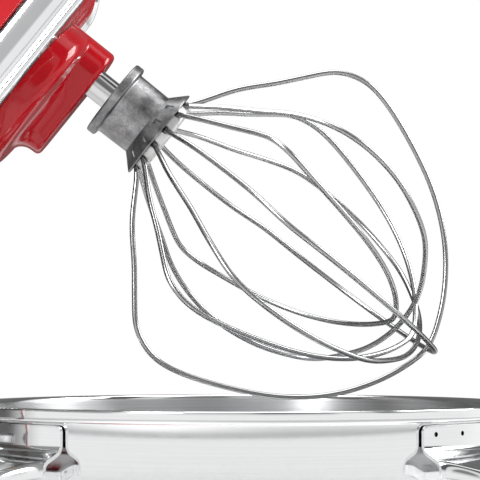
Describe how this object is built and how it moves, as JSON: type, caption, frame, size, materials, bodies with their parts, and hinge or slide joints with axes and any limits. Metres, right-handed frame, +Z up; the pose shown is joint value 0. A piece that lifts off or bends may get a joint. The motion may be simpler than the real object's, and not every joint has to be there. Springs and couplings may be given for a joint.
{
  "type": "stand mixer",
  "caption": "Tilt-head stand mixer in gloss enamel with a wire whisk on a planetary drive, nose attachment socket and polished two-eared steel bowl.",
  "frame": {"origin": "centre of the bounding box on the table under the feet, with the head raised", "axes": "+X towards the nose of the mixer, +Z up, +Y to the mixer's left"},
  "size_m": [0.4194, 0.2442, 0.4924],
  "materials": {
    "red_enamel": "high-gloss enamel over die-cast metal",
    "chrome_trim": "polished",
    "bowl_steel": "polished outside, fine circular brushing inside",
    "bright_steel": "bright drawn stainless",
    "gear_steel": "machined, oiled",
    "cast_alloy": "mottled, as cast",
    "light_alloy": "satin, very light",
    "rubber_feet": "matte",
    "black_plastic": "fine texture",
    "motor_iron": "varnished laminations",
    "carbon": "carbon",
    "gear_bronze": "machined bronze"
  },
  "bodies": {
    "stand": {"base_casting": "red_enamel", "base_cover": "black_plastic", "column_casting": "red_enamel", "foot_1": "rubber_feet", "foot_2": "rubber_feet", "foot_3": "rubber_feet", "foot_4": "rubber_feet", "foot_5": "rubber_feet", "hinge_pin": "bright_steel", "power_inlet": "black_plastic", "bowl_clamp_plate": "gear_steel"},
    "bowl": {"bowl": "bowl_steel", "bowl_foot": "bowl_steel", "bowl_ear_front": "bowl_steel", "bowl_ear_rear": "bowl_steel"},
    "head": {"head_lower_casing": "red_enamel", "head_upper_casing": "red_enamel", "trim_band": "chrome_trim", "hub_socket": "chrome_trim", "speed_plate": "chrome_trim", "motor_stator": "motor_iron", "brush_left": "carbon", "brush_right": "carbon", "brush_cap_left": "black_plastic", "brush_cap_right": "black_plastic", "gearbox_plate": "cast_alloy", "ring_gear": "gear_steel"},
    "hub_cap": {"hub_cap": "chrome_trim"},
    "hub_knob": {"hub_knob": "black_plastic"},
    "speed_knob": {"speed_knob": "black_plastic"},
    "lock_lever": {"lock_lever": "chrome_trim"},
    "rotor": {"motor_rotor": "motor_iron"},
    "worm_wheel": {"worm_wheel": "gear_bronze"},
    "attachment_drive": {"attachment_shaft": "gear_steel"},
    "planetary": {"planetary_body": "red_enamel", "centre_shaft": "gear_steel"},
    "whisk": {"beater_shaft": "bright_steel", "planet_pinion": "gear_steel", "drive_pin": "bright_steel", "whisk_hub": "cast_alloy", "whisk_plug": "light_alloy", "whisk_wire_1": "bright_steel", "whisk_wire_2": "bright_steel", "whisk_wire_3": "bright_steel", "whisk_wire_4": "bright_steel", "whisk_wire_5": "bright_steel", "whisk_wire_6": "bright_steel"}
  },
  "joints": [
    {"name": "head_tilt", "type": "hinge", "parent": "stand", "child": "head", "pos_m": [-0.0961, 0, 0.2182], "axis": [0, 1, 0], "range_deg": [0, 51.83]},
    {"name": "bowl_twist", "type": "hinge", "parent": "stand", "child": "bowl", "pos_m": [0.071, 0, 0.034], "axis": [0, 0, 1], "range_deg": [0, 30]},
    {"name": "lock_lever_turn", "type": "hinge", "parent": "stand", "child": "lock_lever", "pos_m": [-0.109, 0.048, 0.16], "axis": [0, 1, 0], "range_deg": [0, 40]},
    {"name": "speed_knob_turn", "type": "hinge", "parent": "head", "child": "speed_knob", "pos_m": [-0.11608, -0.058, 0.32434], "axis": [0, -1, 0], "range_deg": [0, 150]},
    {"name": "hub_cap_swing", "type": "hinge", "parent": "head", "child": "hub_cap", "pos_m": [-0.02929, 0, 0.49041], "axis": [0, -1, 0], "range_deg": [0, 100]},
    {"name": "hub_knob_turn", "type": "hinge", "parent": "head", "child": "hub_knob", "pos_m": [-0.03057, 0.06, 0.44283], "axis": [0, 1, 0], "continuous": true},
    {"name": "planetary_spin", "type": "hinge", "parent": "head", "child": "planetary", "pos_m": [-0.02216, 0, 0.37262], "axis": [-0.7862, 0, 0.618], "continuous": true},
    {"name": "beater_spin", "type": "hinge", "parent": "planetary", "child": "whisk", "pos_m": [-0.00856, 0, 0.38992], "axis": [-0.7862, 0, 0.618], "continuous": true},
    {"name": "worm_wheel_spin", "type": "hinge", "parent": "head", "child": "worm_wheel", "pos_m": [-0.07709, 0.0246, 0.36747], "axis": [-0.7862, 0, 0.618], "continuous": true},
    {"name": "rotor_spin", "type": "hinge", "parent": "head", "child": "rotor", "pos_m": [-0.12798, 0, 0.32861], "axis": [0.618, 0, 0.7862], "continuous": true},
    {"name": "attachment_spin", "type": "hinge", "parent": "head", "child": "attachment_drive", "pos_m": [-0.03989, 0, 0.43744], "axis": [0.618, 0, 0.7862], "continuous": true}
  ],
  "couplings": [
    {"joint": "beater_spin", "follows": "planetary_spin", "ratio": -2.7778},
    {"joint": "worm_wheel_spin", "follows": "planetary_spin", "ratio": -3.3333},
    {"joint": "rotor_spin", "follows": "planetary_spin", "ratio": 16.667},
    {"joint": "attachment_spin", "follows": "planetary_spin", "ratio": 1}
  ]
}
